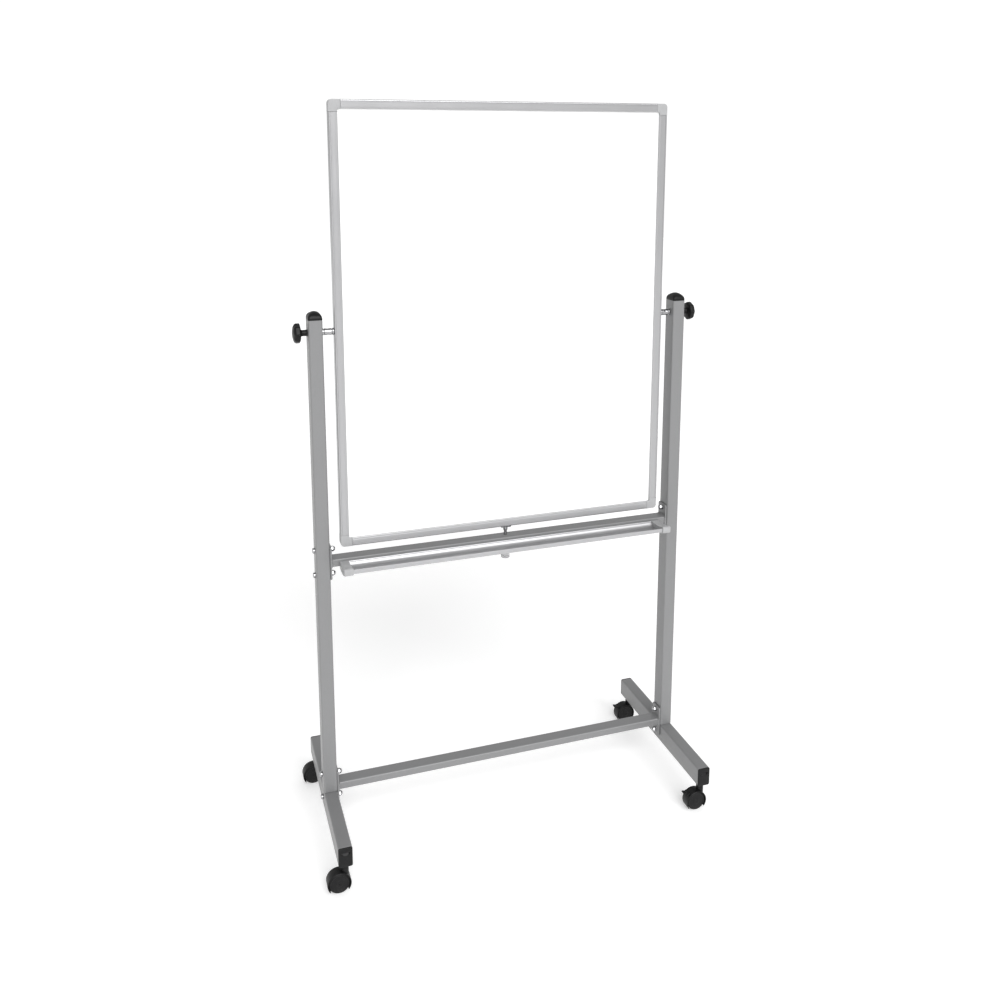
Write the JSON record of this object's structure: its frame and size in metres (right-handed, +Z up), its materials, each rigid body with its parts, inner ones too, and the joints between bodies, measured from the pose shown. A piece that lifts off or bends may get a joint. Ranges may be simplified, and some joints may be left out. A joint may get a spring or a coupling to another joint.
{
  "type": "rolling reversible whiteboard",
  "caption": "Upright whiteboard in an aluminium frame that flips end over end between two posts on a wheeled stand with a marker tray, clamp knobs and a spring latch.",
  "frame": {"origin": "on the floor under the middle of the stand, midway between the posts and along the feet", "axes": "+X to the right as seen by a writer in front of the board, -Y towards that writer, +Z up"},
  "size_m": [0.9956, 0.45, 1.746],
  "materials": {
    "powder_silver": "satin silver-grey powder coat",
    "aluminium": "satin anodised",
    "white_enamel": "gloss white dry-erase coating on steel sheet",
    "core_board": "raw fibreboard, enclosed",
    "grey_plastic": "moulded grey",
    "black_plastic": "moulded black",
    "zinc_steel": "bright plated steel"
  },
  "bodies": {
    "stand": {"bolt_lower_left_bottom": "zinc_steel", "bolt_lower_left_top": "zinc_steel", "bolt_lower_right_bottom": "zinc_steel", "bolt_lower_right_top": "zinc_steel", "bolt_upper_left_bottom": "zinc_steel", "bolt_upper_left_top": "zinc_steel", "bolt_upper_right_bottom": "zinc_steel", "bolt_upper_right_top": "zinc_steel", "caster_left_front_stem": "zinc_steel", "caster_left_rear_stem": "zinc_steel", "caster_right_front_stem": "zinc_steel", "caster_right_rear_stem": "zinc_steel", "left_foot": "powder_silver", "left_foot_cap_front": "black_plastic", "left_foot_cap_rear": "black_plastic", "left_post": "powder_silver", "left_post_cap": "black_plastic", "left_tray_cap": "grey_plastic", "lower_crossbar": "powder_silver", "marker_tray": "aluminium", "right_foot": "powder_silver", "right_foot_cap_front": "black_plastic", "right_foot_cap_rear": "black_plastic", "right_post": "powder_silver", "right_post_cap": "black_plastic", "right_tray_cap": "grey_plastic", "upper_crossbar": "powder_silver"},
    "board": {"board_core": "core_board", "corner_bottom_left": "grey_plastic", "corner_bottom_right": "grey_plastic", "corner_top_left": "grey_plastic", "corner_top_right": "grey_plastic", "left_pivot_stud": "zinc_steel", "rail_bottom": "aluminium", "rail_left": "aluminium", "rail_right": "aluminium", "rail_top": "aluminium", "right_pivot_stud": "zinc_steel", "writing_sheet_front": "white_enamel", "writing_sheet_rear": "white_enamel"},
    "left_knob": {"left_clamp_knob": "black_plastic"},
    "right_knob": {"right_clamp_knob": "black_plastic"},
    "latch": {"latch_plunger": "zinc_steel", "latch_pull": "zinc_steel"},
    "caster_left_front": {"caster_left_front_housing": "black_plastic"},
    "caster_left_front_wheel_front": {"caster_left_front_wheel_front": "black_plastic"},
    "caster_left_front_wheel_rear": {"caster_left_front_wheel_rear": "black_plastic"},
    "caster_left_rear": {"caster_left_rear_housing": "black_plastic"},
    "caster_left_rear_wheel_front": {"caster_left_rear_wheel_front": "black_plastic"},
    "caster_left_rear_wheel_rear": {"caster_left_rear_wheel_rear": "black_plastic"},
    "caster_right_front": {"caster_right_front_housing": "black_plastic"},
    "caster_right_front_wheel_front": {"caster_right_front_wheel_front": "black_plastic"},
    "caster_right_front_wheel_rear": {"caster_right_front_wheel_rear": "black_plastic"},
    "caster_right_front_brake": {"caster_right_front_brake": "black_plastic"},
    "caster_right_rear": {"caster_right_rear_housing": "black_plastic"},
    "caster_right_rear_wheel_front": {"caster_right_rear_wheel_front": "black_plastic"},
    "caster_right_rear_wheel_rear": {"caster_right_rear_wheel_rear": "black_plastic"},
    "caster_right_rear_brake": {"caster_right_rear_brake": "black_plastic"}
  },
  "joints": [
    {"name": "board_flip", "type": "hinge", "parent": "stand", "child": "board", "pos_m": [0, 0, 1.238], "axis": [1, 0, 0], "continuous": true},
    {"name": "left_knob_turn", "type": "hinge", "parent": "board", "child": "left_knob", "pos_m": [-0.475, 0, 1.238], "axis": [1, 0, 0], "range_deg": [-180, 180]},
    {"name": "right_knob_turn", "type": "hinge", "parent": "board", "child": "right_knob", "pos_m": [0.475, 0, 1.238], "axis": [1, 0, 0], "range_deg": [-180, 180]},
    {"name": "latch_pull_down", "type": "slide", "parent": "stand", "child": "latch", "axis": [0, 0, 1], "range_m": [-0.012, 0], "stiffness_N_per_m": 400, "springref_m": 0.006},
    {"name": "caster_left_front_swivel", "type": "hinge", "parent": "stand", "child": "caster_left_front", "pos_m": [-0.449, -0.205, 0.05], "axis": [0, 0, 1], "continuous": true},
    {"name": "caster_left_front_wheel_front_roll", "type": "hinge", "parent": "caster_left_front", "child": "caster_left_front_wheel_front", "pos_m": [-0.463, -0.21165, 0.024], "axis": [0, 1, 0], "continuous": true},
    {"name": "caster_left_front_wheel_rear_roll", "type": "hinge", "parent": "caster_left_front", "child": "caster_left_front_wheel_rear", "pos_m": [-0.463, -0.19835, 0.024], "axis": [0, 1, 0], "continuous": true},
    {"name": "caster_left_rear_swivel", "type": "hinge", "parent": "stand", "child": "caster_left_rear", "pos_m": [-0.449, 0.205, 0.05], "axis": [0, 0, 1], "continuous": true},
    {"name": "caster_left_rear_wheel_front_roll", "type": "hinge", "parent": "caster_left_rear", "child": "caster_left_rear_wheel_front", "pos_m": [-0.463, 0.19835, 0.024], "axis": [0, 1, 0], "continuous": true},
    {"name": "caster_left_rear_wheel_rear_roll", "type": "hinge", "parent": "caster_left_rear", "child": "caster_left_rear_wheel_rear", "pos_m": [-0.463, 0.21165, 0.024], "axis": [0, 1, 0], "continuous": true},
    {"name": "caster_right_front_swivel", "type": "hinge", "parent": "stand", "child": "caster_right_front", "pos_m": [0.449, -0.205, 0.05], "axis": [0, 0, 1], "continuous": true},
    {"name": "caster_right_front_wheel_front_roll", "type": "hinge", "parent": "caster_right_front", "child": "caster_right_front_wheel_front", "pos_m": [0.435, -0.21165, 0.024], "axis": [0, 1, 0], "continuous": true},
    {"name": "caster_right_front_wheel_rear_roll", "type": "hinge", "parent": "caster_right_front", "child": "caster_right_front_wheel_rear", "pos_m": [0.435, -0.19835, 0.024], "axis": [0, 1, 0], "continuous": true},
    {"name": "caster_right_front_brake_press", "type": "hinge", "parent": "caster_right_front", "child": "caster_right_front_brake", "pos_m": [0.41471, -0.205, 0.04429], "axis": [0, -1, 0], "range_deg": [0, 22]},
    {"name": "caster_right_rear_swivel", "type": "hinge", "parent": "stand", "child": "caster_right_rear", "pos_m": [0.449, 0.205, 0.05], "axis": [0, 0, 1], "continuous": true},
    {"name": "caster_right_rear_wheel_front_roll", "type": "hinge", "parent": "caster_right_rear", "child": "caster_right_rear_wheel_front", "pos_m": [0.435, 0.19835, 0.024], "axis": [0, 1, 0], "continuous": true},
    {"name": "caster_right_rear_wheel_rear_roll", "type": "hinge", "parent": "caster_right_rear", "child": "caster_right_rear_wheel_rear", "pos_m": [0.435, 0.21165, 0.024], "axis": [0, 1, 0], "continuous": true},
    {"name": "caster_right_rear_brake_press", "type": "hinge", "parent": "caster_right_rear", "child": "caster_right_rear_brake", "pos_m": [0.41471, 0.205, 0.04429], "axis": [0, -1, 0], "range_deg": [0, 22]}
  ]
}
